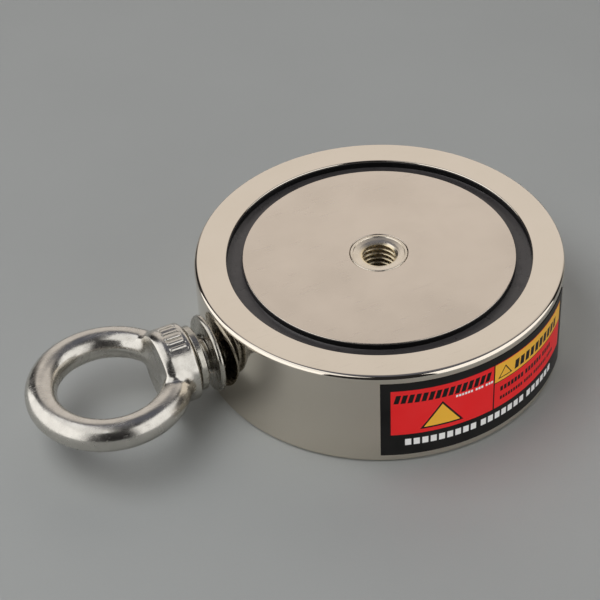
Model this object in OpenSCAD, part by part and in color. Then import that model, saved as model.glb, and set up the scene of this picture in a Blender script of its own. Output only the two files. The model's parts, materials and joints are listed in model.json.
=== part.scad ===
// Double-sided magnet for searching under water: a plated steel shell with a magnet in
// each face, tapped centre bushes, and an eye bolt screwed into the side.
// Millimetres. The origin is on the body's axis, on the lower face. +Z is up and the
// eye bolt points along -X.

/* [Body] */
// Outer diameter of the steel shell
body_d = 94; // [90:1:110]
// Height of the body, face to face
body_h = 28; // [28:0.5:34]
// Radius of the shell's rounded outer edges
edge_r = 1.05; // [0.3:0.05:1.5]
// Bore of the shell's rim, around each magnet
rim_bore_d = 77.6; // [76:0.2:79]
// Thickness of the plate that divides the two magnet pockets
divider_t = 12; // [12:0.5:13]
// Chamfer on the rim's inner edge
rim_chamfer = 0.3; // [0.1:0.05:0.5]

/* [Magnet stack] */
// Diameter of the magnet and of the pole disc on it
disc_d = 69.4; // [66:0.2:72]
// Thickness of the pole disc
disc_t = 2; // [1:0.1:2.4]
// How far the pole disc lies below the rim
disc_recess = 0.3; // [0.1:0.05:0.6]
// Thickness of the cured adhesive under the magnet
film_t = 0.2; // [0.1:0.05:0.3]
// Diameter of the hole in the magnet
magnet_bore_d = 19; // [17:0.5:24]
// How far the resin in the groove lies below the rim
resin_recess = 2.2; // [1.2:0.1:2.4]

/* [Tapped bush] */
// Nominal diameter of every thread on the part
thread_d = 10; // [8:1:10]
// Diameter of the bush's head, seen in the face
bush_head_d = 14.7; // [14:0.1:16]
// Diameter of the spigot pressed into the divider
bush_spigot_d = 13; // [12:0.1:13.5]
// Width of the flat lip around the dish
bush_lip = 0.35; // [0.2:0.05:0.6]
// Depth of the dish in the bush's head
dish_depth = 0.8; // [0.4:0.1:1.2]
// Gap between the bush and the pole disc
bush_gap = 0.1; // [0.05:0.05:0.2]

/* [Label] */
// Length of the label around the side
label_len = 61.6; // [40:0.2:90]
// Height of the label
label_h = 23.5; // [18:0.5:24]
// Thickness of the label
label_t = 0.15; // [0.1:0.05:0.3]
// Height of the label's lower edge above the lower face
label_z = 2.4; // [1.5:0.1:2.6]
// Direction that the label's middle faces, around +Z from +X
label_azimuth = -79.8; // [-140:0.1:140]

/* [Eye bolt] */
// Diameter of the ring's round section
ring_bar_d = 8; // [7:0.5:9]
// Inside diameter of the ring
ring_inner_d = 25.6; // [24:0.2:28]
// Distance from the boss's seat to the middle of the ring
ring_reach = 21; // [20.8:0.2:22]
// Diameter of the round boss under the ring
boss_d = 20; // [18:0.5:22]
// Length of the boss, along the bolt
boss_len = 8.5; // [8.4:0.1:9]
// Length of the chamfer at the boss's ring end
boss_chamfer = 1.5; // [0.5:0.1:2]
// Length of the threaded shank
shank_len = 18; // [15:0.5:20]
// Gap between the shell's side and the boss's seat
seat_gap = 7; // [5.6:0.1:8]
// Radial clearance of the shank in the tapped hole
thread_clear = 0.05; // [0.02:0.01:0.08]

/* [Washers] */
// Outer diameter of the spring washer
spring_washer_d = 16.8; // [16:0.2:18.4]
// Inner diameter of the spring washer
spring_washer_bore = 10.4; // [10.2:0.1:11]
// Thickness of the spring washer
spring_washer_t = 2.5; // [2.2:0.1:2.6]
// Width of the spring washer's split
spring_washer_split = 0.9; // [0.5:0.1:1.5]
// Direction of the split, around the bolt from the top
spring_washer_split_angle = -143; // [-180:1:180]
// Outer diameter of the flat washer
flat_washer_d = 20; // [18:0.5:21]
// Inner diameter of the flat washer
flat_washer_bore = 10.5; // [10.4:0.1:11]
// Thickness of the flat washer
flat_washer_t = 1.3; // [1:0.1:1.4]
// Gap between the flat washer and the shell
flat_washer_gap = 0.9; // [0.8:0.1:1.4]

/* [Hidden] */
body_r = body_d / 2;
mid_h = body_h / 2;
rim_bore_r = rim_bore_d / 2;
disc_r = disc_d / 2;
divider_half = divider_t / 2;
face_h = mid_h;
pocket_h = face_h - divider_half;
disc_face_h = face_h - disc_recess;
disc_back_h = disc_face_h - disc_t;
magnet_seat_h = divider_half + film_t;
magnet_bore_r = magnet_bore_d / 2;
bush_head_r = bush_head_d / 2;
bush_spigot_r = bush_spigot_d / 2;
// Half of the space left between the two bushes in the middle of the divider
bush_end_h = 0.5;
bush_round = 0.2;
thread_r = thread_d / 2;
// The tapped hole in the side: its full thread, then the drill's point
side_hole_depth = 14.5;
drill_point = 2.5;
// The chamfer that opens a tapped hole, on its radius
mouth_chamfer = 0.6;
seat_s = body_r + seat_gap;
ring_r = (ring_inner_d + ring_bar_d) / 2;
ring_s = seat_s + ring_reach;
boss_r = boss_d / 2;
boss_nose_r = boss_r - boss_chamfer / 2;
seat_chamfer = 0.6;
shank_r = thread_r - thread_clear;
shank_end_s = seat_s - shank_len;
tip_chamfer = 1;
label_angle = label_len / body_r * 180 / PI;
cut = 1;
round_fn = 180;
small_fn = 96;

// A disc of this radius and height with both outer edges rounded, as a half section
module round_edge_section(radius, height, edge) {
    square([radius - edge, height]);
    translate([0, edge])
        square([radius, height - 2 * edge]);
    for (z = [edge, height - edge])
        translate([radius - edge, z])
            circle(edge, $fn = small_fn);
}

// A flat ring standing on z = base
module flat_ring(inner_r, outer_r, base, top, fn = round_fn) {
    translate([0, 0, base])
        difference() {
            cylinder(r = outer_r, h = top - base, $fn = fn);
            translate([0, 0, -cut])
                cylinder(r = inner_r, h = top - base + 2 * cut, $fn = fn);
        }
}

// Children are drawn on the divider's middle plane, facing the upper or the lower face
module on_face(upper) {
    translate([0, 0, mid_h])
        mirror([0, 0, upper ? 0 : 1])
            children();
}

// Children are drawn along +Z, which becomes the eye bolt's axis
module along_bolt() {
    translate([0, 0, mid_h])
        rotate([0, -90, 0])
            children();
}

// One pocket and its rim chamfer, as a half section above the middle plane
module pocket_section() {
    translate([0, divider_half])
        square([rim_bore_r, pocket_h + cut]);
    polygon([
        [0, face_h - rim_chamfer],
        [rim_bore_r, face_h - rim_chamfer],
        [rim_bore_r + rim_chamfer + cut, face_h + cut],
        [0, face_h + cut]
    ]);
}

// The blind tapped hole in the side, with its drill point and mouth chamfer
module side_hole() {
    along_bolt() {
        translate([0, 0, body_r - side_hole_depth])
            cylinder(r = thread_r, h = side_hole_depth + cut, $fn = small_fn);
        translate([0, 0, body_r - side_hole_depth - drill_point])
            cylinder(r1 = 0, r2 = thread_r, h = drill_point, $fn = small_fn);
        translate([0, 0, body_r - mouth_chamfer])
            cylinder(
                r1 = thread_r, r2 = thread_r + mouth_chamfer + cut,
                h = mouth_chamfer + cut, $fn = small_fn
            );
    }
}

module steel_shell() {
    color("darkkhaki")
        difference() {
            rotate_extrude($fn = round_fn)
                difference() {
                    round_edge_section(body_r, body_h, edge_r);
                    square([bush_spigot_r, body_h]);
                    translate([0, mid_h])
                        pocket_section();
                    translate([0, mid_h])
                        mirror([0, 1])
                            pocket_section();
                }
            side_hole();
        }
}

module bond_film(upper) {
    color("dimgray")
        on_face(upper)
            flat_ring(magnet_bore_r, disc_r, divider_half, magnet_seat_h);
}

module magnet(upper) {
    color("silver")
        on_face(upper)
            flat_ring(magnet_bore_r, disc_r, magnet_seat_h, disc_back_h);
}

module pole_disc(upper) {
    color("tan")
        on_face(upper)
            flat_ring(bush_head_r + bush_gap, disc_r, disc_back_h, disc_face_h);
}

module resin_ring(upper) {
    color("darkslategray")
        on_face(upper)
            flat_ring(disc_r, rim_bore_r, divider_half, face_h - resin_recess);
}

module centring_collar(upper) {
    color("whitesmoke")
        on_face(upper)
            flat_ring(bush_head_r, magnet_bore_r, divider_half, disc_back_h, small_fn);
}

module threaded_bush(upper) {
    color("wheat")
        on_face(upper)
            rotate_extrude($fn = small_fn)
                polygon([
                    [thread_r, bush_end_h],
                    [bush_spigot_r, bush_end_h],
                    [bush_spigot_r, divider_half],
                    [bush_head_r, divider_half],
                    [bush_head_r, disc_face_h - bush_round],
                    [bush_head_r - bush_round, disc_face_h],
                    [bush_head_r - bush_lip, disc_face_h],
                    [thread_r, disc_face_h - dish_depth]
                ]);
}

module label() {
    color("crimson")
        rotate([0, 0, label_azimuth - label_angle / 2])
            rotate_extrude(angle = label_angle, $fn = round_fn)
                translate([body_r, label_z])
                    square([label_t, label_h]);
}

module flat_washer() {
    color("gainsboro")
        along_bolt()
            flat_ring(
                flat_washer_bore / 2, flat_washer_d / 2,
                body_r + flat_washer_gap, body_r + flat_washer_gap + flat_washer_t,
                small_fn
            );
}

module spring_washer() {
    color("gray")
        along_bolt()
            difference() {
                flat_ring(
                    spring_washer_bore / 2, spring_washer_d / 2,
                    seat_s - spring_washer_t, seat_s, small_fn
                );
                rotate([0, 0, spring_washer_split_angle])
                    translate([0, -spring_washer_split / 2, seat_s - spring_washer_t - cut])
                        cube([spring_washer_d, spring_washer_split, spring_washer_t + 2 * cut]);
            }
}

module eye_ring() {
    translate([-ring_s, 0, mid_h])
        rotate_extrude($fn = round_fn)
            translate([ring_r, 0])
                circle(d = ring_bar_d, $fn = small_fn);
}

// The boss and the shank, turned about the bolt's axis
module boss_and_shank() {
    along_bolt()
        rotate_extrude($fn = small_fn)
            polygon([
                [0, shank_end_s],
                [shank_r - tip_chamfer, shank_end_s],
                [shank_r, shank_end_s + tip_chamfer],
                [shank_r, seat_s],
                [boss_r - seat_chamfer, seat_s],
                [boss_r, seat_s + seat_chamfer],
                [boss_r, seat_s + boss_len - boss_chamfer],
                [boss_nose_r, seat_s + boss_len],
                [0, seat_s + boss_len]
            ]);
}

module eye_bolt() {
    color("lightsteelblue")
        union() {
            eye_ring();
            boss_and_shank();
        }
}

steel_shell();
label();
bond_film(true);  // upper_bond_film
magnet(true);  // upper_magnet
pole_disc(true);  // upper_pole_disc
resin_ring(true);  // upper_resin_ring
centring_collar(true);  // upper_centring_collar
threaded_bush(true);  // upper_threaded_bush
bond_film(false);  // lower_bond_film
magnet(false);  // lower_magnet
pole_disc(false);  // lower_pole_disc
resin_ring(false);  // lower_resin_ring
centring_collar(false);  // lower_centring_collar
threaded_bush(false);  // lower_threaded_bush
flat_washer();
spring_washer();
eye_bolt();
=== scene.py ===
"""The looks of a double-sided fishing magnet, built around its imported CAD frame.

Pieces are modelled in millimetres. A turned piece stands on its own axis, +Z, and is
then placed and scaled to metres in the frame's axes: the body's pieces stay upright and
the bolt's pieces are laid along -X, at the height of the tapped hole in the side.
"""

from __future__ import annotations

import json
import logging
import math
from dataclasses import dataclass, field
from enum import Enum
from typing import Any, Callable, Iterable, Sequence, Union

import bmesh
import bpy
import numpy as np
from mathutils import Matrix, Vector, noise

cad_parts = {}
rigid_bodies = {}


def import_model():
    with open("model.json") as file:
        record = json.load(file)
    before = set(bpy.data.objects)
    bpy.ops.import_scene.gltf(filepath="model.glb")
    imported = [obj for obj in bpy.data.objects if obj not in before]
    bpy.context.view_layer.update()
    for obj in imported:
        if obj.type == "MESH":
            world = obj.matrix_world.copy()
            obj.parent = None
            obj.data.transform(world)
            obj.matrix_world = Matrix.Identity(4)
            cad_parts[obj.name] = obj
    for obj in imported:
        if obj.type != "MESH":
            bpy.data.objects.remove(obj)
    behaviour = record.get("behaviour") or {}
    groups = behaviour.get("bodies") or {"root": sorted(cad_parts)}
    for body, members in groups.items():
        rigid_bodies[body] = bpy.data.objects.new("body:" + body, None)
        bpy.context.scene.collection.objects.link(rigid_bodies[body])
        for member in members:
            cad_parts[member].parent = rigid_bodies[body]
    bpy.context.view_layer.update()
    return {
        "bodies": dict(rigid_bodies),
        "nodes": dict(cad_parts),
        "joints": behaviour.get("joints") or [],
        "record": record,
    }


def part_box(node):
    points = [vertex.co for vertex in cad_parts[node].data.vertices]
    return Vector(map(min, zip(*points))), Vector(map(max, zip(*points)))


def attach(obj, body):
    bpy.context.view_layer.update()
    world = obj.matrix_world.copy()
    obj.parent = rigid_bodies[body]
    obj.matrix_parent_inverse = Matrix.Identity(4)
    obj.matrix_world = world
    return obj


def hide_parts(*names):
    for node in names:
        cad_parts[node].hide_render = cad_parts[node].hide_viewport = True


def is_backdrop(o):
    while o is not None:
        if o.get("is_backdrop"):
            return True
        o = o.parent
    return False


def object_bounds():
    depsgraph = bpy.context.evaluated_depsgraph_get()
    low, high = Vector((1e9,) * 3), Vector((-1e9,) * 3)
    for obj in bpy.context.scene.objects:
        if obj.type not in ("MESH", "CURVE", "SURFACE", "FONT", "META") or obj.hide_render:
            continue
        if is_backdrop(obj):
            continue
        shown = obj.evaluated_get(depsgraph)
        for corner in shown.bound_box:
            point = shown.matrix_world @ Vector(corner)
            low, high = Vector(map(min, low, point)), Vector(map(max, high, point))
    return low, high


log = logging.getLogger("fishing_magnet")

MM = 0.001
FULL_TURN = 2.0 * math.pi
MERGE_MM = 1e-4
THREAD_MERGE_MM = 20.0 * MERGE_MM
SPIGOT_R = 6.5
OVERCUT_MM = 1.0
HOLD_MM = 0.12

Colour = tuple[float, float, float]
Point = tuple[float, float]
Number = Union["Wire", float]
Look = bpy.types.Material
Piece = bpy.types.Object
Solid = bmesh.types.BMesh


# --------------------------------------------------------------------------- shaders


def operators(operation: str) -> tuple[Callable[..., Wire], Callable[..., Wire]]:
    """Make an operator of wires, and its reflected form.

    Args:
        operation: The Math node's operation.

    Returns:
        The method for a wire on the left, and the one for a wire on the right.
    """

    def plain(self: Wire, other: Number) -> Wire:
        """Return the operation on self and other."""
        return self.graph.math(operation, self, other)

    def reflected(self: Wire, other: Number) -> Wire:
        """Return the operation on other and self."""
        return self.graph.math(operation, other, self)

    return plain, reflected


class Wire:
    """A node's output, with the arithmetic that the finishes are written in."""

    def __init__(self, graph: Graph, socket: bpy.types.NodeSocket) -> None:
        """Keep the graph that the output socket belongs to."""
        self.graph = graph
        self.socket = socket

    __add__, __radd__ = operators("ADD")
    __sub__, __rsub__ = operators("SUBTRACT")
    __mul__, __rmul__ = operators("MULTIPLY")
    __truediv__, __rtruediv__ = operators("DIVIDE")
    __pow__, __rpow__ = operators("POWER")

    def higher(self, other: Number) -> Wire:
        """Return the larger of self and other."""
        return self.graph.math("MAXIMUM", self, other)

    def over(self, edge: float, blur: float) -> Wire:
        """Step smoothly from 0 to 1 where self passes an edge.

        Args:
            edge: The value at the middle of the step.
            blur: Half the step's width.

        Returns:
            The mask.
        """
        ends = {"Value": self, "From Min": edge - blur, "From Max": edge + blur}
        return self.graph.node(
            "ShaderNodeMapRange", {"interpolation_type": "SMOOTHSTEP"}, ends
        )

    def between(self, low: float, high: float, blur: float) -> Wire:
        """Return a mask that is 1 where self lies between low and high."""
        return self.over(low, blur) * (1.0 - self.over(high, blur))


class Graph:
    """A node tree whose one shader is ready to be wired."""

    def __init__(self, tree: bpy.types.NodeTree, output: str, shader: str) -> None:
        """Empty the tree and put its shader in.

        Args:
            tree: The tree of a material or a world.
            output: The type of its output node.
            shader: The type of its shader.
        """
        self.tree = tree
        self.tree.nodes.clear()
        end = self.tree.nodes.new(output)
        self.shader = self.tree.nodes.new(shader)
        self.tree.links.new(self.shader.outputs[0], end.inputs["Surface"])

    def node(
        self,
        kind: str,
        settings: dict[str, Any] | None = None,
        inputs: dict[Any, Any] | None = None,
        output: int | str = 0,
    ) -> Wire:
        """Add any node.

        Args:
            kind: The node's type.
            settings: Properties that are set before the inputs; "stops" fills a ramp.
            inputs: Values or wires, by socket name or number.
            output: The name or number of the output that is wanted.

        Returns:
            That output.
        """
        made = self.tree.nodes.new(kind)
        for key, value in (settings or {}).items():
            if key == "stops":
                self._fill_ramp(made.color_ramp, value)
            else:
                setattr(made, key, value)
        for key, value in (inputs or {}).items():
            self.plug(made.inputs[key], value)
        return Wire(self, made.outputs[output])

    def math(self, operation: str, *values: Number) -> Wire:
        """Add one Math node.

        Args:
            operation: The Math node's operation.
            values: Its inputs, as wires or plain numbers.

        Returns:
            The node's output.
        """
        settings = {"operation": operation}
        return self.node("ShaderNodeMath", settings, dict(enumerate(values)))

    @staticmethod
    def _fill_ramp(ramp: bpy.types.ColorRamp, stops: Sequence[tuple[float, float]]) -> None:
        """Set a ramp's grey stops, each a place and a level."""
        while len(ramp.elements) < len(stops):
            ramp.elements.new(1.0)
        for element, (place, level) in zip(ramp.elements, stops):
            element.position = place
            element.color = (level, level, level, 1.0)

    def plug(self, socket: bpy.types.NodeSocket, value: Any) -> None:
        """Link a wire to a socket, or set a plain value on it."""
        if isinstance(value, Wire):
            self.tree.links.new(value.socket, socket)
        elif isinstance(value, tuple) and len(value) == 3 and socket.type == "RGBA":
            socket.default_value = (*value, 1.0)
        else:
            socket.default_value = value

    def set(self, **values: Any) -> None:
        """Set or wire the Principled shader's sockets, with _ for a space."""
        for key, value in values.items():
            self.plug(self.shader.inputs[key.replace("_", " ")], value)

    def mix(self, share: Number, first: Any, second: Any) -> Wire:
        """Mix two colours.

        Args:
            share: How much of the second colour is taken, 0 to 1.
            first: The first colour.
            second: The second colour.

        Returns:
            The mixed colour.
        """
        inputs = {0: share, 6: first, 7: second}
        return self.node("ShaderNodeMix", {"data_type": "RGBA"}, inputs, 2)

    def place(self, centre: Vector = Vector(), stretch: Colour = (1.0, 1.0, 1.0)) -> Wire:
        """Return the piece's own coordinates in millimetres.

        Args:
            centre: The point, in metres, that becomes the pattern's centre.
            stretch: A factor for each axis; a small one draws the pattern out along it.

        Returns:
            The position vector.
        """
        here = self.node("ShaderNodeTexCoord", output="Object")
        scale = Vector(stretch) / MM
        offset = Vector(-c * s for c, s in zip(centre, scale))
        inputs = {"Vector": here, "Location": offset, "Scale": scale}
        return self.node("ShaderNodeMapping", inputs=inputs)

    def noise(self, where: Wire, size: float, detail: float = 3.0) -> Wire:
        """Return a noise whose grains are about that many millimetres wide."""
        inputs = {"Vector": where, "Scale": 1.0 / size, "Detail": detail}
        return self.node("ShaderNodeTexNoise", inputs=inputs)

    def relief(self, height: Wire, depth: float, below: Wire | None = None) -> Wire:
        """Raise a bump.

        Args:
            height: The height, 0 to 1.
            depth: What a height of 1 stands for, in millimetres.
            below: A bump that this one lies on.

        Returns:
            The normal.
        """
        inputs: dict[Any, Any] = {"Height": height, "Distance": depth * MM}
        if below is not None:
            inputs["Normal"] = below
        return self.node("ShaderNodeBump", inputs=inputs)


class Finish(Graph):
    """A material's graph, with its Principled shader."""

    def __init__(self, name: str) -> None:
        """Start a material of that name."""
        self.material = bpy.data.materials.new(name)
        self.material.use_nodes = True
        tree = self.material.node_tree
        super().__init__(tree, "ShaderNodeOutputMaterial", "ShaderNodeBsdfPrincipled")


class Axis(Enum):
    """The axis that a piece was turned about."""

    BODY = "XY"
    BOLT = "YZ"
    NONE = ""


@dataclass(frozen=True)
class MetalFinish:
    """A metal surface: its colour, its blur, and the marks that making and use leave."""

    name: str
    tint: Colour
    dull: Colour
    roughness: float
    smear: float
    smear_size: float = 9.0
    ripple: float = 0.0
    ripple_size: float = 4.0
    grain: float = 0.0
    grain_size: float = 0.12
    scratches: float = 0.0
    lathe: float = 0.0
    lathe_pitch: float = 0.18
    axis: Axis = Axis.NONE
    centre: Vector = field(default_factory=Vector)
    inner_tint: Colour | None = None
    inner_r: float = 4.7
    least_rough: float = 0.02
    hairs: tuple[tuple[float, float], ...] = ((0.35, 0.07), (1.45, 0.09), (2.5, 0.06))

    def make(self) -> Look:
        """Build the material.

        Returns:
            The material, with all its patterns in the piece's own coordinates.
        """
        g = Finish(self.name)
        where = g.place(self.centre)
        cloud = g.noise(where, self.smear_size, 4.0)
        fine = g.noise(where, self.grain_size, 2.0)
        patch = cloud.over(0.5, 0.22)
        hairs = self._hairlines(g)
        rough = self.roughness + self.smear * (patch - 0.5) + 0.12 * self.scratches * hairs
        rough = rough + 0.35 * self.smear * (fine - 0.5)
        normal = g.relief(cloud, self.ripple, None)
        wave = g.noise(where, self.ripple_size, 1.0)
        normal = g.relief(wave, self.ripple, normal)
        normal = g.relief(fine, self.grain, normal)
        normal = g.relief(1.0 - hairs, 0.004 * self.scratches, normal)
        colour = g.mix(patch * 0.6 + fine * 0.25, self.tint, self.dull)
        if self.axis is not Axis.NONE:
            radius = self._radius(g, where)
            rings = g.noise(
                g.node("ShaderNodeCombineXYZ", inputs={"X": radius}), self.lathe_pitch, 3.0
            )
            normal = g.relief(rings, self.lathe, normal)
            rough = rough + 3.0 * self.lathe * rings
            if self.inner_tint is not None:
                colour = g.mix(radius.over(self.inner_r, 0.4), self.inner_tint, colour)
        g.set(
            Base_Color=colour,
            Metallic=1.0,
            Roughness=rough.higher(self.least_rough),
            Normal=normal,
        )
        return g.material

    def _hairlines(self, g: Graph) -> Wire:
        """Draw thin scratches in three directions.

        Args:
            g: The material's graph.

        Returns:
            A mask that is 1 on a scratch.
        """
        total: Wire | None = None
        for way, thin in self.hairs:
            here = g.node("ShaderNodeTexCoord", output="Object")
            spun = g.node(
                "ShaderNodeMapping",
                inputs={
                    "Vector": here,
                    "Rotation": Vector((0.4 * way, 0.7, way)),
                    "Scale": Vector((0.05, 1.0, 1.0)) / MM,
                },
            )
            streak = g.noise(spun, thin * 6.0, 1.0)
            line = streak.over(0.74, 0.03)
            total = line if total is None else total.higher(line)
        return total

    def _radius(self, g: Graph, where: Wire) -> Wire:
        """Measure the distance from the axis that the piece was turned about.

        Args:
            g: The material's graph.
            where: The position in millimetres.

        Returns:
            The distance in millimetres.
        """
        first, second = (
            g.node("ShaderNodeSeparateXYZ", inputs={0: where}, output=letter)
            for letter in self.axis.value
        )
        return (first * first + second * second) ** 0.5


@dataclass(frozen=True)
class ResinFinish:
    """Black potting resin: poured, so it is smooth but not even; its steep faces carry a painted
    shade, near black.
    """

    name: str = "potting_resin_black"
    deep: Colour = (0.026, 0.0235, 0.0235)
    grey: Colour = (0.064, 0.058, 0.058)
    # Painted shade: the near-black colour given to the resin's steep faces, where the groove's
    # walls lie in shade.
    steep_face_shade: Colour = (0.003, 0.003, 0.003)
    roughness: float = 0.30
    gloss: float = 0.5
    bubble_mm: float = 0.9

    def make(self) -> Look:
        """Build the material."""
        g = Finish(self.name)
        where = g.place()
        cloud = g.noise(where, 3.5, 4.0)
        fine = g.noise(where, 0.25, 3.0)
        cell = g.node(
            "ShaderNodeTexVoronoi", inputs={"Vector": where, "Scale": 1.0 / self.bubble_mm}
        )
        pit = 1.0 - cell.over(0.13, 0.05)
        normal = g.relief(cloud, 0.12)
        normal = g.relief(fine, 0.02, normal)
        normal = g.relief(1.0 - pit, 0.06, normal)
        # Painted shade: faces that stand steep, up the groove's walls, are coloured near black;
        # level faces keep the resin's own colour.
        flat = g.node("ShaderNodeNewGeometry", output="Normal")
        up = g.node("ShaderNodeSeparateXYZ", inputs={0: flat}, output="Z")
        level = g.math("ABSOLUTE", up).over(0.6, 0.3)
        floor = g.mix(cloud * 0.7 + fine * 0.3, self.deep, self.grey)
        g.set(
            Base_Color=g.mix(level, self.steep_face_shade, floor),
            Roughness=self.roughness + 0.25 * (cloud - 0.5) + 0.15 * pit,
            Normal=normal,
            Specular_IOR_Level=self.gloss,
        )
        return g.material


@dataclass(frozen=True)
class PlasticFinish:
    """A plain moulded or cured plastic that is hidden in the magnet."""

    name: str
    light: Colour
    dark: Colour
    roughness: float
    size: float

    def make(self) -> Look:
        """Build the material."""
        g = Finish(self.name)
        where = g.place()
        cloud = g.noise(where, self.size, 4.0)
        fine = g.noise(where, self.size / 12.0, 2.0)
        g.set(
            Base_Color=g.mix(cloud, self.dark, self.light),
            Roughness=self.roughness + 0.2 * (fine - 0.5),
            Normal=g.relief(fine, 0.01),
        )
        return g.material


@dataclass(frozen=True)
class Line:
    """Rows of plain blocks, which stand where a line of words would be."""

    start: float
    base: float
    height: float
    words: tuple[int, ...]
    block: float
    gap: float = 0.5
    slant: float = 0.0


@dataclass(frozen=True)
class Sign:
    """A plain triangle with a dark edge, and nothing in it."""

    middle: float
    low: float
    high: float
    half: float
    edge: float

    def mask(self, along: Wire, up: Wire, inset: float, blur: float) -> Wire:
        """Return the triangle's mask.

        Args:
            along: The place along the label.
            up: The height on the label.
            inset: How far the mask is drawn in from the sign's edge.
            blur: The softness of the mask's edge.

        Returns:
            The mask.
        """
        tall = self.high - self.low
        side = math.hypot(tall, self.half)
        across = along.graph.math("ABSOLUTE", along - self.middle)
        slope = ((self.high - up) * self.half - across * tall) / side
        return slope.over(inset, blur) * up.over(self.low + inset, blur)


@dataclass(frozen=True)
class PrintFinish:
    """The label's print: flat inks on black film, laid out in millimetres.

    Places are measured along the label from its left end, and up from its lower edge.
    """

    length: float
    height: float
    name: str = "label_print_film"
    black: Colour = (0.0025, 0.0022, 0.0020)
    red: Colour = (0.86, 0.018, 0.020)
    yellow: Colour = (0.93, 0.50, 0.045)
    white: Colour = (0.90, 0.89, 0.87)
    blur: float = 0.06
    roughness: float = 0.38
    gloss: float = 0.08
    block_edge: float = 0.02
    block_blur: float = 0.04
    space: float = 0.26
    rule: float = 0.25
    margin: float = 2.5
    split: float = 29.4
    split_half: float = 0.2
    panel_low: float = 6.8
    panel_high: float = 21.2
    band_low: float = 15.3
    signs: tuple[Sign, ...] = (
        Sign(15.2, 8.0, 15.9, 5.6, 0.5),
        Sign(32.9, 16.1, 19.7, 2.3, 0.3),
    )
    white_lines: tuple[Line, ...] = (
        Line(5.9, 3.15, 2.05, (9, 7, 6), 2.12, 0.75),
        Line(18.6, 15.9, 0.7, (6, 3, 3), 0.8),
    )
    dark_lines: tuple[Line, ...] = (
        Line(3.1, 17.1, 2.7, (15,), 1.68, slant=0.25),
        Line(36.0, 16.2, 2.8, (10,), 2.0, slant=0.1),
        Line(31.4, 11.7, 1.5, (7, 6, 4), 1.2),
        Line(31.4, 8.9, 1.1, (9, 4, 7, 4), 0.9),
    )

    def make(self) -> Look:
        """Build the material.

        Returns:
            The material, printed on the piece's own UV map.
        """
        g = Finish(self.name)
        uv = g.node("ShaderNodeUVMap", {"uv_map": "print"})
        along = g.node("ShaderNodeSeparateXYZ", inputs={0: uv}, output="X") * self.length
        up = g.node("ShaderNodeSeparateXYZ", inputs={0: uv}, output="Y") * self.height
        where = g.place()
        grain = g.noise(where, 0.35, 3.0)
        cloud = g.noise(where, 11.0, 3.0)
        right_end = self.length - self.margin
        panels = up.between(self.panel_low, self.panel_high, self.blur)
        panels = panels * along.between(self.margin, right_end, self.blur)
        left, right = self.split - self.split_half, self.split + self.split_half
        split = 1.0 - along.between(left, right, self.blur)
        colour = g.mix(panels * split, self.black, self.red)
        band = along.between(right, right_end, self.blur)
        band = band * up.between(self.band_low, self.panel_high - self.split_half, self.blur)
        colour = g.mix(band, colour, self.yellow)
        under = along.between(self.split, right_end, self.blur)
        under = under * up.between(self.band_low - self.rule, self.band_low, self.blur)
        colour = g.mix(under, colour, self.black)
        for sign in self.signs:
            colour = g.mix(sign.mask(along, up, 0.0, self.blur), colour, self.black)
            inner = sign.mask(along, up, sign.edge, self.blur)
            colour = g.mix(inner, colour, self.yellow)
        colour = g.mix(self._print(along, up, self.dark_lines), colour, self.black)
        colour = g.mix(self._print(along, up, self.white_lines), colour, self.white)
        colour = g.mix(cloud * 0.025, colour, self.white)
        g.set(
            Base_Color=colour,
            Roughness=self.roughness + 0.12 * (cloud - 0.5) + 0.10 * (grain - 0.5),
            Normal=g.relief(grain, 0.003, g.relief(cloud, 0.06)),
            Specular_IOR_Level=self.gloss,
        )
        return g.material

    def _print(self, along: Wire, up: Wire, lines: Iterable[Line]) -> Wire | float:
        """Return the mask of several printed lines."""
        total: Wire | float = 0.0
        for line in lines:
            run = along - line.slant * (up - line.base)
            words: Wire | float = 0.0
            left = line.start
            for count in line.words:
                width = (count - self.space) * line.block
                block = along.graph.math("FRACT", (run - left) / line.block)
                word = block.between(self.block_edge, 1.0 - self.space, self.block_blur)
                words = words + word * run.between(left, left + width, self.blur)
                left += count * line.block + line.gap
            total = total + words * up.between(line.base, line.base + line.height, self.blur)
        return total


# --------------------------------------------------------------------------- modelling


class Cut(Enum):
    """How one solid is worked with another."""

    ADD = "UNION"
    TAKE = "DIFFERENCE"
    KEEP = "INTERSECT"


def soften(corners: Sequence[tuple[float, float, float]], steps: int = 6) -> list[Point]:
    """Round the corners of a closed outline.

    Beside each rounded corner a holding point keeps the flat beside it flat when the
    surface is shaded smooth.

    Args:
        corners: Radius, height and rounding of each corner, in order.
        steps: How many stretches make a rounded corner.

    Returns:
        The outline's points.
    """
    outline: list[Point] = []
    count = len(corners)
    for index, (x, y, rounding) in enumerate(corners):
        here = Vector((x, y))
        back = Vector(corners[index - 1][:2]) - here
        ahead = Vector(corners[(index + 1) % count][:2]) - here
        if rounding <= 0.0:
            outline.append((x, y))
            continue
        half = back.angle(ahead) / 2.0
        reach = rounding / math.tan(half)
        middle = (back.normalized() + ahead.normalized()).normalized()
        centre = here + middle * (rounding / math.sin(half))
        start = here + back.normalized() * reach - centre
        sweep = start.angle_signed(here + ahead.normalized() * reach - centre)
        hold = min(rounding * 0.5, HOLD_MM)
        outline.append(tuple(here + back.normalized() * (reach + hold)))
        for step in range(steps + 1):
            turned = Matrix.Rotation(-sweep * step / steps, 2) @ start
            outline.append(tuple(centre + turned))
        outline.append(tuple(here + ahead.normalized() * (reach + hold)))
    return outline


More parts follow.
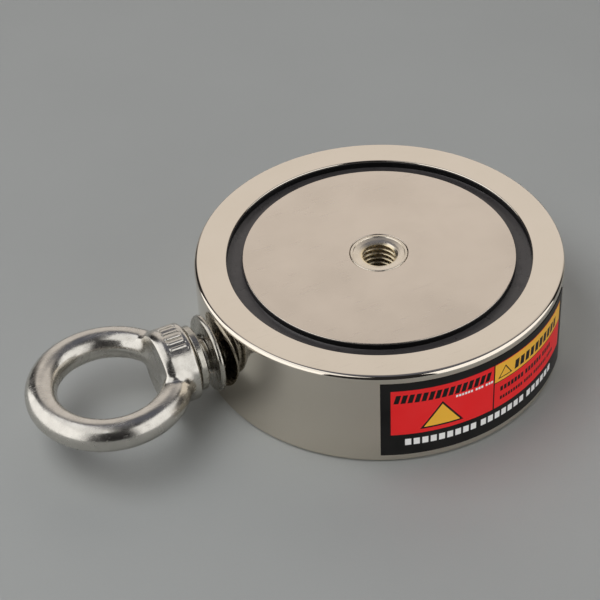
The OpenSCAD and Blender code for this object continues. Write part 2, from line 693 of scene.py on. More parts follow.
def sweep(
    outline: Sequence[Point],
    steps: int,
    angle: float = FULL_TURN,
    rise: float = 0.0,
    closed: bool = True,
) -> Solid:
    """Sweep an outline around +Z.

    Args:
        outline: The radius and height of each point.
        steps: The number of faces around.
        angle: How far it goes round; a full turn closes on itself.
        rise: How far each step climbs.
        closed: False for an outline whose ends are not joined.

    Returns:
        The swept surface.
    """
    bm = bmesh.new()
    verts = [bm.verts.new((radius, 0.0, height)) for radius, height in outline]
    ring = verts + verts[:1] if closed else verts
    edges = [bm.edges.new(pair) for pair in zip(ring, ring[1:])]
    bmesh.ops.spin(
        bm,
        geom=verts + edges,
        cent=(0.0, 0.0, 0.0),
        axis=(0.0, 0.0, 1.0),
        dvec=(0.0, 0.0, rise),
        angle=angle,
        steps=steps,
        use_merge=angle == FULL_TURN,
        use_duplicate=False,
    )
    return bm


def turn(outline: Sequence[Point], steps: int, closed: bool = True) -> Solid:
    """Turn an outline once around +Z.

    Args:
        outline: The radius and height of each point.
        steps: The number of faces around.
        closed: False for an outline that runs from axis to axis.

    Returns:
        The turned solid.
    """
    bm = sweep(outline, steps, closed=closed)
    bmesh.ops.remove_doubles(bm, verts=bm.verts, dist=MERGE_MM)
    bmesh.ops.recalc_face_normals(bm, faces=bm.faces)
    return bm


def cap(bm: Solid) -> None:
    """Close the two ends of a swept piece."""
    bmesh.ops.holes_fill(bm, edges=[e for e in bm.edges if e.is_boundary], sides=0)
    bmesh.ops.recalc_face_normals(bm, faces=bm.faces)


def to_object(bm: Solid, name: str) -> Piece:
    """Make an object of a working mesh, still in millimetres.

    Args:
        bm: The mesh, which is freed.
        name: The object's name.

    Returns:
        The object.
    """
    mesh = bpy.data.meshes.new(name)
    bm.to_mesh(mesh)
    bm.free()
    made = bpy.data.objects.new(name, mesh)
    bpy.context.scene.collection.objects.link(made)
    return made


def bake_modifiers(piece: Piece) -> None:
    """Make the piece's modified mesh its own mesh."""
    bpy.context.view_layer.update()
    graph = bpy.context.evaluated_depsgraph_get()
    baked = bpy.data.meshes.new_from_object(piece.evaluated_get(graph))
    old = piece.data
    piece.modifiers.clear()
    piece.data = baked
    baked.name = old.name
    bpy.data.meshes.remove(old)


def work(piece: Piece, tool: Piece, how: Cut) -> None:
    """Add, take away or keep what two solids share.

    Args:
        piece: The solid that is worked on.
        tool: The other solid, which is used up.
        how: What is done.
    """
    modifier = piece.modifiers.new(how.value, "BOOLEAN")
    modifier.operation = how.value
    modifier.solver = "EXACT"
    modifier.object = tool
    bake_modifiers(piece)
    bpy.data.objects.remove(tool)


def settle(piece: Piece, place: Matrix, sharp: float = 35.0) -> None:
    """Put a finished mesh in its place in the frame, in metres, and shade it.

    Args:
        piece: The piece, modelled in millimetres.
        place: Its place in the frame.
        sharp: The angle, in degrees, past which an edge stays sharp.
    """
    bm = bmesh.new()
    bm.from_mesh(piece.data)
    bmesh.ops.remove_doubles(bm, verts=bm.verts, dist=MERGE_MM)
    bmesh.ops.dissolve_degenerate(bm, edges=bm.edges, dist=MERGE_MM)
    for edge in bm.edges:
        edge.smooth = edge.calc_face_angle(0.0) < math.radians(sharp)
    for face in bm.faces:
        face.smooth = True
    bm.transform(place @ Matrix.Scale(MM, 4))
    bm.to_mesh(piece.data)
    bm.free()


def dress(piece: Piece, material: Look) -> None:
    """Give a piece one material all over."""
    piece.data.materials.clear()
    piece.data.materials.append(material)


@dataclass(frozen=True)
class Role:
    """What a finished piece stands for: its body, the CAD node and the material slot."""

    body: str
    node: str
    slot: str

    def fill(self, piece: Piece, place: Matrix, look: Look) -> None:
        """Place and dress the piece, attach it to its body and hide its CAD node.

        Args:
            piece: The piece, modelled in millimetres.
            place: Its place in the frame.
            look: Its material.
        """
        settle(piece, place)
        dress(piece, look)
        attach(piece, self.body)
        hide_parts(self.node)
        log.info("%s: %d faces", piece.name, len(piece.data.polygons))


@dataclass(frozen=True)
class Thread:
    """A standard coarse thread, cut right-handed along +Z."""

    major: float = 5.0
    pitch: float = 1.5
    depth: float = 0.81
    flank_angle: float = 30.0
    facets: int = 48

    def rod(self, low: float, high: float, grow: float = 0.0) -> Solid:
        """Model a threaded rod.

        Args:
            low: The height of its lower end.
            high: The height of its upper end.
            grow: What is added to its radius, all over.

        Returns:
            The rod, closed at both ends.
        """
        flank = self.depth * math.tan(math.radians(self.flank_angle))
        crest = self.pitch / 8.0
        major = self.major + grow
        minor = major - self.depth
        first = math.floor(low / self.pitch) - 1
        turns = math.ceil((high - low) / self.pitch) + 3
        base = first * self.pitch
        marks = (
            (major, 0.0),
            (major, crest),
            (minor, crest + flank),
            (minor, self.pitch - flank),
            (major, self.pitch),
        )
        bm = sweep(
            [(radius, base + height) for radius, height in marks],
            self.facets * turns,
            FULL_TURN * turns,
            self.pitch / self.facets,
            closed=False,
        )
        bmesh.ops.remove_doubles(bm, verts=bm.verts, dist=THREAD_MERGE_MM)
        for height, up in ((low, -1.0), (high, 1.0)):
            bmesh.ops.bisect_plane(
                bm,
                geom=bm.verts[:] + bm.edges[:] + bm.faces[:],
                plane_co=(0.0, 0.0, height),
                plane_no=(0.0, 0.0, up),
                clear_outer=True,
            )
            rim = [e for e in bm.edges if e.is_boundary and self._flat_at(e, height)]
            bmesh.ops.edgeloop_fill(bm, edges=rim)
        bmesh.ops.recalc_face_normals(bm, faces=bm.faces)
        return bm

    @staticmethod
    def _flat_at(edge: bmesh.types.BMEdge, height: float) -> bool:
        """Tell whether an edge lies in the level plane at that height."""
        return all(abs(vert.co.z - height) < MERGE_MM for vert in edge.verts)


class Face(Enum):
    """The two working faces of the magnet."""

    UPPER = "upper"
    LOWER = "lower"


@dataclass
class Spots:
    """Sizes in millimetres, read from the frame, and the two places of the model."""

    body_r: float = 0.0
    body_h: float = 0.0
    rim_bore_r: float = 0.0
    pocket_floor: float = 0.0
    side_hole_end: float = 32.5

    def __post_init__(self) -> None:
        """Read the body's sizes from the CAD nodes."""
        low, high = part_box("steel_shell")
        self.body_r = high.x / MM
        self.body_h = high.z / MM
        self.rim_bore_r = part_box("upper_resin_ring")[1].x / MM
        self.pocket_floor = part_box("upper_bond_film")[0].z / MM

    @property
    def middle(self) -> float:
        """The height of the body's middle plane."""
        return self.body_h / 2.0

    @property
    def bolt_axes(self) -> Matrix:
        """The place that lays a piece's +Z along the bolt, outwards."""
        lift = Matrix.Translation((0.0, 0.0, self.middle * MM))
        return lift @ Matrix.Rotation(-math.pi / 2.0, 4, "Y")

    def face_axes(self, face: Face) -> Matrix:
        """The place that puts a piece, modelled for the upper face, on either face."""
        if face is Face.UPPER:
            return Matrix.Identity(4)
        over = Matrix.Rotation(math.pi, 4, "X")
        return Matrix.Translation((0.0, 0.0, self.body_h * MM)) @ over


@dataclass
class Shell:
    """The turned and plated steel shell, with the tapped hole in its side."""

    spots: Spots
    thread: Thread
    edge: float = 1.05
    rim_break: float = 0.3
    floor_round: float = 0.5
    spigot_round: float = 0.2
    mouth: float = 0.7
    thread_wall: float = 0.9
    drill_point: float = 2.5
    band: float = 7.0
    steps: int = 288
    drill_steps: int = 96

    def build(self, finish: Look) -> None:
        """Model the shell.

        Args:
            finish: The plating.
        """
        s = self.spots
        upper = [
            (s.body_r, s.middle + self.band, 0.0),
            (s.body_r, s.body_h, self.edge),
            (s.rim_bore_r, s.body_h, self.rim_break),
            (s.rim_bore_r, s.pocket_floor, self.floor_round),
            (SPIGOT_R, s.pocket_floor, self.spigot_round),
        ]
        lower = [(r, s.body_h - z, rounding) for r, z, rounding in reversed(upper)]
        piece = to_object(turn(soften(upper + lower, 8), self.steps), "shell_turned")
        work(piece, self._tap(), Cut.TAKE)
        Role("magnet_body", "steel_shell", "nickel_shell").fill(piece, Matrix.Identity(4), finish)

    def _tap(self) -> Piece:
        """Model what the drill, the tap and the countersink take away."""
        s = self.spots
        outside = s.body_r + OVERCUT_MM
        tool = to_object(self.thread.rod(s.side_hole_end, outside), "tap")
        drill_r = self.thread.major - self.thread_wall
        drill = [
            (0.0, s.side_hole_end - self.drill_point),
            (drill_r, s.side_hole_end),
            (drill_r, s.body_r - self.mouth),
            (self.thread.major + self.mouth + OVERCUT_MM, outside),
            (0.0, outside),
        ]
        work(tool, to_object(turn(drill, self.drill_steps, closed=False), "drill"), Cut.ADD)
        tool.data.transform(s.bolt_axes.to_3x3().to_4x4())
        tool.data.transform(Matrix.Translation((0.0, 0.0, s.middle)))
        return tool


@dataclass
class WorkingFace:
    """What is seen in one face: the pole disc, the resin in the groove, and the bush."""

    spots: Spots
    thread: Thread
    face: Face
    bush_thread: Thread = Thread(depth=0.74)
    steps: int = 256
    disc_edge: float = 0.18
    bush_gap: float = 0.1
    disc_foot: float = 0.05
    meniscus: float = 0.30
    meniscus_steps: int = 16
    skin: float = 0.08
    skin_below: float = 0.22
    rim_below: float = 0.38
    pour: float = 0.05
    pour_scale: float = 0.6
    pour_from: float = 1.0
    lip: float = 0.72
    lip_round: float = 0.28
    lip_inner_round: float = 0.12
    lip_slope: float = 0.1
    lip_foot_round: float = 0.04
    dish_rim: float = 0.24
    dish: float = 0.40
    dish_reach: float = 1.1
    dish_round: float = 1.4
    throat: float = 0.82
    throat_clear: float = 0.1
    base_round: float = 0.2
    bush_steps: int = 144

    def _sizes(self, part: str) -> tuple[float, float, float]:
        """Return a part's outer radius, base and top, in millimetres.

        They are read from the upper face's node: the lower one is its mirror image.
        """
        low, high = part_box(f"upper_{part}")
        return high.x / MM, low.z / MM, high.z / MM

    def _finish(self, piece: Piece, part: str, slot: str, look: Look) -> None:
        """Place and dress one piece of the face, and attach it to the body."""
        role = Role("magnet_body", f"{self.face.value}_{part}", slot)
        role.fill(piece, self.spots.face_axes(self.face), look)

    def disc(self, look: Look) -> None:
        """Model the pole disc."""
        outer, base, top = self._sizes("pole_disc")
        inner = self._sizes("threaded_bush")[0] + self.bush_gap
        e, foot = self.disc_edge, self.disc_foot
        corners = [(outer, base, foot), (outer, top, e), (inner, top, e), (inner, base, foot)]
        bm = turn(soften(corners, 5), self.steps)
        piece = to_object(bm, f"{self.face.value}_pole_disc_ground")
        self._finish(piece, "pole_disc", "nickel_disc", look)

    def resin(self, look: Look) -> None:
        """Model the resin, which creeps up both walls of the groove."""
        outer, base, top = self._sizes("resin_ring")
        inner = self._sizes("pole_disc")[0]
        width = outer - inner
        skin, edge = self.skin, self._sizes("pole_disc")[2] - self.skin_below
        rim = self.spots.body_h - self.rim_below
        outline = [(outer, base), (outer, rim), (outer - skin, rim - skin)]
        for step in range(self.meniscus_steps + 1):
            t = step / self.meniscus_steps
            sag = 1.0 - (2.0 * t - 1.0) ** 4
            reach = outer - skin - (width - 2.0 * skin) * t
            outline.append((reach, top + self.meniscus * (0.5 - sag)))
        outline += [(inner + skin, edge - skin), (inner, edge), (inner, base)]
        bm = turn(outline, self.steps)
        for vert in bm.verts:
            depth = min(1.0, max(0.0, (top - vert.co.z) / self.meniscus))
            if vert.co.z > base + self.pour_from:
                vert.co.z += self.pour * depth * noise.noise(vert.co * self.pour_scale)
        piece = to_object(bm, f"{self.face.value}_resin_pour")
        self._finish(piece, "resin_ring", "potting_resin", look)

    def bush(self, look: Look) -> None:
        """Model the bush: a lipped and dished blank, then the tapped hole."""
        outer, base, top = self._sizes("threaded_bush")
        floor = self.spots.pocket_floor
        rim = outer - self.lip
        mouth = self.thread.major - self.bush_thread.depth - self.throat_clear
        profile = soften(
            [
                (SPIGOT_R, base, self.base_round),
                (SPIGOT_R, floor, 0.0),
                (outer, floor, self.base_round),
                (outer, top, self.lip_round),
                (rim, top, self.lip_inner_round),
                (rim - self.lip_slope, top - self.dish_rim, self.lip_foot_round),
                (rim - self.dish_reach, top - self.dish, self.dish_round),
                (mouth, top - self.throat, 0.0),
                (0.0, top - self.throat, 0.0),
                (0.0, base, 0.0),
            ],
            6,
        )
        blank = to_object(turn(profile, self.bush_steps), f"{self.face.value}_bush_tapped")
        hole = to_object(self.bush_thread.rod(base - OVERCUT_MM, top + OVERCUT_MM), "tap")
        work(blank, hole, Cut.TAKE)
        self._finish(blank, "threaded_bush", "nickel_bush", look)


@dataclass
class Label:
    """The printed film round the side."""

    steps: int = 128
    edge: float = 0.04

    def build(self) -> None:
        """Model the film where the CAD label lies, with its own UV map."""
        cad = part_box("label")
        base, top = cad[0].z / MM, cad[1].z / MM
        angles, radii = self._reach()
        start, reach = angles[0], angles[1] - angles[0]
        inner, outer = radii
        film = [
            (inner, base, 0.0),
            (outer, base, self.edge),
            (outer, top, self.edge),
            (inner, top, 0.0),
        ]
        bm = sweep(soften(film, 3), self.steps, reach)
        cap(bm)
        prints = bm.loops.layers.uv.new("print")
        for face in bm.faces:
            for loop in face.loops:
                x, y, z = loop.vert.co
                turned = math.atan2(y, x) % FULL_TURN
                loop[prints].uv = (min(turned / reach, 1.0), (z - base) / (top - base))
        look = PrintFinish(length=reach * outer, height=top - base).make()
        place = Matrix.Rotation(start, 4, "Z")
        Role("magnet_body", "label", "label_print").fill(to_object(bm, "label_film"), place, look)

    @staticmethod
    def _reach() -> tuple[tuple[float, float], tuple[float, float]]:
        """Read the CAD label's first and last angle, and its inner and outer radius."""
        node = bpy.data.objects["label"]
        spots = [vert.co / MM for vert in node.data.vertices]
        turns = [math.atan2(spot.y, spot.x) for spot in spots]
        radii = [math.hypot(spot.x, spot.y) for spot in spots]
        return (min(turns), max(turns)), (min(radii), max(radii))


@dataclass
class BoltStack:
    """The eye bolt and its two washers, modelled along +Z and laid along the bolt."""

    spots: Spots
    thread: Thread
    slack: float = -0.08
    tip: float = 1.2
    tip_clear: float = 0.1
    shank_root: float = 2.5
    steps: int = 128
    flat_bore: float = 5.25
    flat_round: float = 0.85
    flat_crisp: float = 0.12
    bore_round: float = 0.25
    spring_r: float = 8.4
    spring_bore: float = 5.2
    spring_round: float = 0.45
    spring_crisp: float = 0.3
    spring_steps: int = 120
    split: float = 0.9
    split_angle: float = -143.0
    spring_lift: float = 0.2
    spring_clear: float = 0.3

    def _span(self, node: str) -> tuple[float, float, float]:
        """Return a node's near and far end along the bolt, and its radius."""
        low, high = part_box(node)
        return -high.x / MM, -low.x / MM, (high.z - low.z) / 2.0 / MM

    def flat_washer(self, look: Look) -> None:
        """Model the punched flat washer: one side rounded by the die, one side crisp."""
        near, far, radius = self._span("flat_washer")
        corners = [
            (radius, near, self.flat_crisp),
            (radius, far, self.flat_round),
            (self.flat_bore, far, self.bore_round),
            (self.flat_bore, near, self.flat_crisp),
        ]
        piece = to_object(turn(soften(corners, 5), self.steps), "flat_washer_punched")
        role = Role("flat_washer_body", "flat_washer", "washer_steel")
        role.fill(piece, self.spots.bolt_axes, look)

    def spring_washer(self, look: Look) -> None:
        """Model the split washer as one coiled turn of square wire."""
        near, far, _ = self._span("spring_washer")
        top = far - self.spring_lift - self.spring_clear
        corners = [
            (self.spring_r, near, self.spring_crisp),
            (self.spring_r, top, self.spring_round),
            (self.spring_bore, top, self.bore_round),
            (self.spring_bore, near, self.bore_round),
        ]
        gap = self.split / self.spring_r
        rise = self.spring_lift / self.spring_steps
        bm = sweep(soften(corners, 4), self.spring_steps, FULL_TURN - gap, rise)
        cap(bm)
        turned = Matrix.Rotation(math.radians(self.split_angle) + gap / 2.0, 4, "Z")
        piece = to_object(bm, "spring_washer_coiled")
        role = Role("spring_washer_body", "spring_washer", "washer_steel")
        role.fill(piece, self.spots.bolt_axes @ turned, look)

    def eye_bolt(self, look: Look) -> None:
        """Model the forged head, then its threaded shank."""
        end, tail, boss_r = self._span("eye_bolt")
        head = ForgedHead(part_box("eye_bolt")[1].y / MM, tail, boss_r)
        piece = head.model()
        root = head.seat + self.shank_root
        shank = to_object(self.thread.rod(end, root, self.slack), "shank")
        major = self.thread.major + self.slack
        clear = major + self.tip_clear
        tip = [
            (0.0, end),
            (major - self.tip, end),
            (clear, end + self.tip),
            (clear, root),
            (0.0, root),
        ]
        work(shank, to_object(turn(tip, 96, closed=False), "tip"), Cut.KEEP)
        work(piece, shank, Cut.ADD)
        role = Role("eye_bolt_body", "eye_bolt", "stainless_eye")
        role.fill(piece, self.spots.bolt_axes, look)


@dataclass(frozen=True)
class ForgedHead:
    """The eye bolt's head: a ring and a boss that flow into each other.

    Its surface is where a distance is zero. The distance is in millimetres, in the
    bolt's axes: +Z outwards along the bolt, and +X up, square to the ring.
    """

    outer: float
    tail: float
    boss_r: float
    bar_r: float = 4.0
    seat_to_ring: float = 21.0
    boss_length: float = 8.5
    rounding: float = 0.85
    chamfer: float = 1.5
    blend: float = 1.7
    mark_half: float = 2.1
    mark_wide: float = 0.45
    mark_rise: float = 0.15
    mark_sink: float = 0.45
    mark_root: float = 1.5
    mark_panel: float = 5.6
    mark_margin: float = 0.2
    mark_shift: float = 0.1
    mark_places: tuple[float, ...] = (-4.3, -2.6, -0.9, 0.9, 2.6, 4.3)
    mark_blend: float = 0.25
    voxel: float = 0.26
    probe: float = 0.01
    passes: int = 8
    stride: float = 0.3
    least_slope: float = 0.25

    @property
    def ring_r(self) -> float:
        """The radius of the bar's centre line."""
        return self.outer - self.bar_r

    @property
    def ring_at(self) -> float:
        """The ring's centre, along the bolt."""
        return self.tail - self.outer

    @property
    def seat(self) -> float:
        """The boss's seat, along the bolt."""
        return self.ring_at - self.seat_to_ring

    @property
    def nose(self) -> float:
        """The boss's other end, along the bolt."""
        return self.seat + self.boss_length

    @staticmethod
    def _near(a: np.ndarray, b: np.ndarray, width: float) -> np.ndarray:
        """Return the smaller of two distances, with a fillet of that width."""
        h = np.clip(0.5 + 0.5 * (b - a) / width, 0.0, 1.0)
        return b * (1.0 - h) + a * h - width * h * (1.0 - h)

    def _far(self, a: np.ndarray, b: np.ndarray, width: float) -> np.ndarray:
        """Return the larger of two distances, with a rounding of that width."""
        return -self._near(-a, -b, width)

    def distance(self, at: np.ndarray) -> np.ndarray:
        """Measure how far points lie outside the head's surface.

        Args:
            at: The points, one in each row.

        Returns:
            The distances, negative inside.
        """
        x, y, z = at.T
        around = np.hypot(y, z - self.ring_at)
        ring = np.hypot(around - self.ring_r, x) - self.bar_r
        out = np.hypot(x, y)
        slope = math.atan2(self.chamfer / 2.0, self.chamfer)
        bevel = (out - self.boss_r) * math.cos(slope)
        bevel = bevel + (z - self.nose + self.chamfer) * math.sin(slope)
        boss = self._far(out - self.boss_r, self.seat - z, self.rounding)
        boss = self._far(boss, z - self.nose, self.rounding * 0.8)
        boss = self._far(boss, bevel, self.rounding * 0.5)
        head = self._near(ring, boss, self.blend)
        for mark, sunk in self._marks(out, np.arctan2(y, x), z):
            if sunk:
                head = self._far(head, -mark, self.mark_blend)
            else:
                head = self._near(head, mark, self.mark_blend)
        return head

    def _marks(
        self, out: np.ndarray, angle: np.ndarray, z: np.ndarray
    ) -> Iterable[tuple[np.ndarray, bool]]:
        """Lay plain raised bars and one sunk panel on top of the boss.

        Args:
            out: The points' distance from the bolt's axis.
            angle: Their angle from straight up.
            z: Their place along the bolt.

        Yields:
            The distance to each mark, and whether it is sunk.
        """
        arc = angle * self.boss_r
        middle = (self.seat + self.nose - self.chamfer) / 2.0 + self.mark_shift
        top = out - self.boss_r - self.mark_rise
        along = np.abs(z - middle) - self.mark_half
        panel = np.maximum(np.abs(arc) - self.mark_panel, along - self.mark_margin)
        yield np.maximum(panel, self.boss_r - self.mark_sink - out), True
        for place in self.mark_places:
            bar = np.maximum(np.abs(arc - place) - self.mark_wide, along)
            bar = np.maximum(bar, top)
            yield np.maximum(bar, self.boss_r - self.mark_root - out), False

    def model(self) -> Piece:
        """Model the head: ring and boss are fused, then drawn onto the surface.

        Returns:
            The head.
        """
        facets = 48
        around = (FULL_TURN * step / facets for step in range(facets))
        bar = [(self.ring_r + self.bar_r * math.cos(a), self.bar_r * math.sin(a)) for a in around]
        ring = turn(bar, 4 * facets)
        ring.transform(Matrix.Rotation(math.pi / 2.0, 4, "Y"))
        ring.transform(Matrix.Translation((0.0, 0.0, self.ring_at)))
        piece = to_object(ring, "eye_bolt_forged")
        boss = soften(
            [
                (self.boss_r, self.seat, 0.5),
                (self.boss_r, self.nose - self.chamfer, 0.2),
                (self.boss_r - self.chamfer / 2.0, self.nose, 0.3),
                (0.0, self.nose, 0.0),
                (0.0, self.seat, 0.0),
            ]
        )
        work(piece, to_object(turn(boss, 128), "boss"), Cut.ADD)
        fuse = piece.modifiers.new("fuse", "REMESH")
        fuse.mode = "VOXEL"
        fuse.voxel_size = self.voxel
        bake_modifiers(piece)
        self._draw_on(piece.data)
        return piece

    def _draw_on(self, mesh: bpy.types.Mesh) -> None:
        """Move every point of a mesh straight onto the head's surface."""
        flat = np.empty(len(mesh.vertices) * 3, np.float32)
        mesh.vertices.foreach_get("co", flat)
        at = flat.reshape(-1, 3).astype(np.float64)
        step = self.probe
        for _ in range(self.passes):
            here = self.distance(at)
            slope = np.empty_like(at)
            for axis in range(3):
                shift = np.zeros(3)
                shift[axis] = step
                rise = self.distance(at + shift) - self.distance(at - shift)
                slope[:, axis] = rise / (2 * step)
            size = np.maximum((slope**2).sum(1), self.least_slope)
            move = -(here / size)[:, None] * slope
            at += np.clip(move, -self.stride, self.stride)
        mesh.vertices.foreach_set("co", at.astype(np.float32).ravel())
        mesh.update()


# --------------------------------------------------------------------------- studio


def heading(azimuth: float, elevation: float) -> Vector:
    """Return a direction; azimuth 0 is in front, on -Y, and 90 is on +X.

    Args:
        azimuth: The angle around, in degrees.
        elevation: The angle up, in degrees.

    Returns:
        The unit vector.
    """
    around, up = math.radians(azimuth), math.radians(elevation)
    return Vector((math.sin(around) * math.cos(up), -math.cos(around) * math.cos(up), math.sin(up)))


@dataclass(frozen=True)
class SoftBox:
    """A rectangular light that stands round the object, in metres and degrees.

    What is mirrored in the metal and what falls on dull surfaces are set apart, as
    with a bright panel that stands beside a weak lamp, or the other way round.
    """

    name: str
    azimuth: float
    reach: float
    lift: float
    tilt: float
    width: float
    height: float
    shine: float
    fall: float

    def hang(self, aim: Vector) -> None:
        """Hang the light round a point, facing it and tipped down.

        Args:
            aim: The point, taken at floor level.
        """
        for name, radiance in (("shine", self.shine), ("fall", self.fall)):
            if radiance <= 0.0:
                continue
            data = bpy.data.lights.new(f"{self.name}_{name}", "AREA")
            data.shape = "RECTANGLE"
            data.size, data.size_y = self.width, self.height
            data.energy = radiance * math.pi * self.width * self.height
            lamp = bpy.data.objects.new(data.name, data)
            out = heading(self.azimuth, 0.0) * self.reach
            lamp.location = Vector((aim.x, aim.y, 0.0)) + out + Vector((0.0, 0.0, self.lift))
            away = heading(self.azimuth, self.tilt)
            lamp.rotation_euler = away.to_track_quat("Z", "Y").to_euler()
            lamp.visible_camera = False
            lamp.visible_glossy = name == "shine"
            lamp.visible_diffuse = name == "fall"
            bpy.context.scene.collection.objects.link(lamp)


@dataclass(frozen=True)
class Room:
    """The dim room round the lights, and the pale backdrop that glows in it."""

    dark: Colour = (0.026, 0.025, 0.026)
    ceiling: Colour = (0.150, 0.157, 0.195)
    glow: Colour = (0.86, 0.81, 0.77)
    seen: Colour = (0.30, 0.305, 0.305)
    azimuth: float = 145.0
    half: float = 38.0
    soft: float = 9.0
    glow_low: float = 0.66
    glow_high: float = 0.87
    ceiling_low: float = 0.55
    ceiling_soft: float = 0.25

    def build(self) -> None:
        """Make the world, which the camera itself sees as plain grey."""
        world = bpy.data.worlds.new("room")
        world.use_nodes = True
        g = Graph(world.node_tree, "ShaderNodeOutputWorld", "ShaderNodeBackground")
        way = g.node("ShaderNodeTexCoord", output="Generated")
        x, y, z = (g.node("ShaderNodeSeparateXYZ", inputs={0: way}, output=i) for i in range(3))
        level = (x * x + y * y).higher(1e-6) ** 0.5
        back = heading(self.azimuth, 0.0)
        rear = x * back.x + y * back.y
        toward = rear / level
        inner = math.cos(math.radians(self.half - self.soft))
        outer = math.cos(math.radians(self.half + self.soft))
        side = toward.over((inner + outer) / 2.0, (inner - outer) / 2.0)
        middle = (self.glow_low + self.glow_high) / 2.0
        low = 1.0 - z.over(middle, self.glow_high - middle)
        top = z.over((self.ceiling_low + 1.0) / 2.0, (1.0 - self.ceiling_low) / 2.0)
        top = top * rear.over(0.0, self.ceiling_soft)
        colour = g.mix(top, self.dark, self.ceiling)
        colour = g.mix(side * low, colour, self.glow)
        straight = g.node("ShaderNodeLightPath", output="Is Camera Ray")
        g.set(Color=g.mix(straight, colour, self.seen))
        bpy.context.scene.world = world


@dataclass
class Studio:
    """A plain pale floor, soft light and the camera."""

    aim_offset: Vector = field(default_factory=lambda: Vector((0.0052, 0.0075, 0.0)))
    azimuth: float = -24.0
    elevation: float = 40.6
    roll: float = -2.75
    distance: float = 0.4742
    lens: float = 110.1
    sensor: float = 36.0
    clip: tuple[float, float] = (0.01, 20.0)
    floor_size: float = 6.0
    floor_gap: float = 0.00002
    floor_dark: Colour = (0.391, 0.404, 0.396)
    floor_light: Colour = (0.447, 0.463, 0.454)
    boxes: tuple[SoftBox, ...] = (
        SoftBox("softbox_left", -100.0, 0.36, 0.215, 0.0, 0.72, 0.42, 1.45, 0.85),
        SoftBox("softbox_above", -98.0, 0.24, 0.510, 57.0, 0.62, 0.30, 1.15, 3.83),
        SoftBox("softbox_right", 42.0, 0.36, 0.345, 0.0, 0.56, 0.66, 1.35, 1.25),
        SoftBox("fill_front", 10.0, 1.10, 0.120, 0.0, 1.00, 0.20, 0.0, 8.40),
    )

    def build(self) -> None:
        """Set up the floor, the lights, the world and the camera."""
        low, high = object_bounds()
        aim = (low + high) / 2.0 + self.aim_offset
        self._lay_floor(low.z)
        for box in self.boxes:
            box.hang(aim)
        Room().build()
        self._place_camera(aim)

    def _lay_floor(self, level: float) -> None:
        """Lay the floor at that height."""
        bm = bmesh.new()
        bmesh.ops.create_grid(bm, x_segments=8, y_segments=8, size=self.floor_size / 2.0)
        bmesh.ops.translate(bm, vec=(0.0, 0.0, level - self.floor_gap), verts=bm.verts)
        floor = to_object(bm, "floor")
        g = Finish("pale_floor")
        where = g.place()
        cloud = g.noise(where, 45.0, 4.0)
        fine = g.noise(where, 0.5, 3.0)
        g.set(
            Base_Color=g.mix(cloud * 0.6 + fine * 0.4, self.floor_dark, self.floor_light),
            Roughness=0.62 + 0.1 * (fine - 0.5),
            Normal=g.relief(fine, 0.02),
        )
        dress(floor, g.material)
        floor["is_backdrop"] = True

    def _place_camera(self, aim: Vector) -> None:
        """Place the camera, level with its aim and then rolled."""
        away = heading(self.azimuth, self.elevation)
        data = bpy.data.cameras.new("camera")
        data.lens = self.lens
        data.sensor_width = self.sensor
        data.clip_start, data.clip_end = self.clip
        camera = bpy.data.objects.new("camera", data)
        upright = away.to_track_quat("Z", "Y").to_matrix().to_4x4()
        tilt = Matrix.Rotation(math.radians(self.roll), 4, "Z")
        camera.matrix_world = Matrix.Translation(aim + away * self.distance) @ upright @ tilt
        bpy.context.scene.collection.objects.link(camera)
        bpy.context.scene.camera = camera


# --------------------------------------------------------------------------- the object


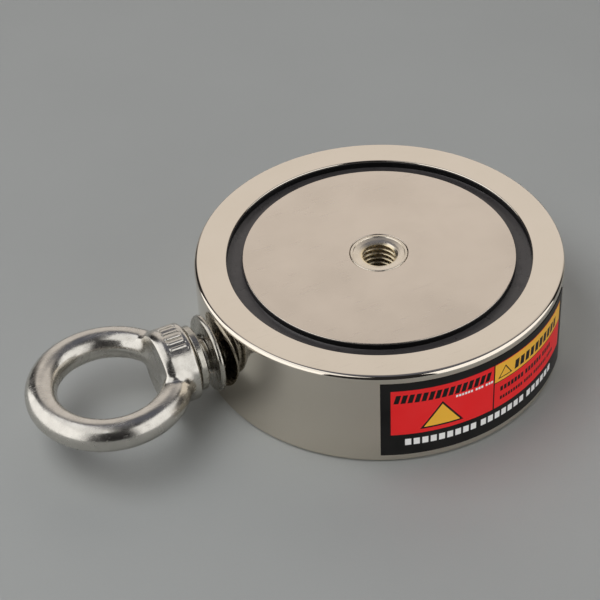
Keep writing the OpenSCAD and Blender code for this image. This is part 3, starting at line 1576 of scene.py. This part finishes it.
@dataclass(frozen=True)
class Finishes:
    """Every material of the object, made once."""

    bolt_centre: Vector

    def shell(self) -> Look:
        """Bright nickel on the turned shell."""
        return MetalFinish(
            "nickel_plate_shell", (0.73, 0.665, 0.575), (0.70, 0.635, 0.54), 0.03, 0.03,
            smear_size=14.0, ripple=0.006, ripple_size=6.0, grain=0.0015, scratches=0.5,
        ).make()

    def disc(self) -> Look:
        """Satin nickel on the pole discs."""
        return MetalFinish(
            "nickel_plate_disc", (0.690, 0.617, 0.535), (0.648, 0.576, 0.493), 0.22, 0.07,
            smear_size=18.0, ripple=0.004, ripple_size=8.0, grain=0.002, scratches=0.5,
        ).make()

    def bush(self) -> Look:
        """Bright nickel on the tapped bushes."""
        return MetalFinish(
            "nickel_plate_bush", (0.79, 0.72, 0.62), (0.71, 0.64, 0.52), 0.26, 0.08,
            smear_size=3.0, ripple=0.004, ripple_size=1.5, grain=0.002,
            lathe=0.003, axis=Axis.BODY, inner_tint=(0.80, 0.68, 0.46),
        ).make()

    def stainless(self) -> Look:
        """Tumbled stainless steel on the eye bolt."""
        return MetalFinish(
            "stainless_tumbled", (0.60, 0.575, 0.525), (0.52, 0.495, 0.45), 0.23, 0.12,
            smear_size=3.0, ripple=0.02, ripple_size=2.2, grain=0.006, grain_size=0.22,
            scratches=1.0,
        ).make()

    def zinc(self) -> Look:
        """Plated steel on the washers."""
        return MetalFinish(
            "washer_plating", (0.54, 0.515, 0.455), (0.36, 0.34, 0.30), 0.24, 0.12,
            smear_size=2.0, ripple=0.008, ripple_size=1.2, grain=0.006, grain_size=0.15,
            scratches=0.8, lathe=0.006, axis=Axis.BOLT, centre=self.bolt_centre,
        ).make()

    def sintered(self) -> Look:
        """Plating on the sintered magnets inside."""
        return MetalFinish(
            "sintered_magnet_plating", (0.62, 0.61, 0.59), (0.48, 0.47, 0.45), 0.32, 0.12,
            grain=0.006, grain_size=0.3, ripple=0.004,
        ).make()


class FishingMagnet:
    """The whole object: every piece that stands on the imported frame."""

    def __init__(self, frame: dict[str, Any]) -> None:
        """Keep the frame and read the shared sizes.
        """
        self.nodes = frame["nodes"]
        self.spots = Spots()
        self.thread = Thread()
        self.finishes = Finishes(Vector((0.0, 0.0, self.spots.middle * MM)))

    def build(self) -> None:
        """Build and dress every piece, in order."""
        Shell(self.spots, self.thread).build(self.finishes.shell())
        disc, bush, resin = self.finishes.disc(), self.finishes.bush(), ResinFinish().make()
        for face in Face:
            work_face = WorkingFace(self.spots, self.thread, face)
            work_face.disc(disc)
            work_face.resin(resin)
            work_face.bush(bush)
        Label().build()
        zinc = self.finishes.zinc()
        stack = BoltStack(self.spots, self.thread)
        stack.flat_washer(zinc)
        stack.spring_washer(zinc)
        stack.eye_bolt(self.finishes.stainless())
        self._dress_hidden()

    def _dress_hidden(self) -> None:
        """Dress the CAD nodes that stay as they are, inside the pockets."""
        looks = {
            "magnet": self.finishes.sintered(),
            "bond_film": PlasticFinish(
                "cured_adhesive", (0.20, 0.19, 0.17), (0.12, 0.115, 0.10), 0.5, 4.0
            ).make(),
            "centring_collar": PlasticFinish(
                "collar_moulded", (0.82, 0.82, 0.78), (0.70, 0.70, 0.66), 0.45, 3.0
            ).make(),
        }
        for face in Face:
            for part, look in looks.items():
                dress(self.nodes[f"{face.value}_{part}"], look)
                log.info("%s_%s dressed", face.value, part)


def main() -> None:
    """Load the frame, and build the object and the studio."""
    logging.basicConfig(level=logging.INFO, format="%(name)s: %(message)s")
    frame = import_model()
    FishingMagnet(frame).build()
    Studio().build()
    bpy.context.scene.view_settings.view_transform = "Standard"


if __name__ == "__main__":
    main()
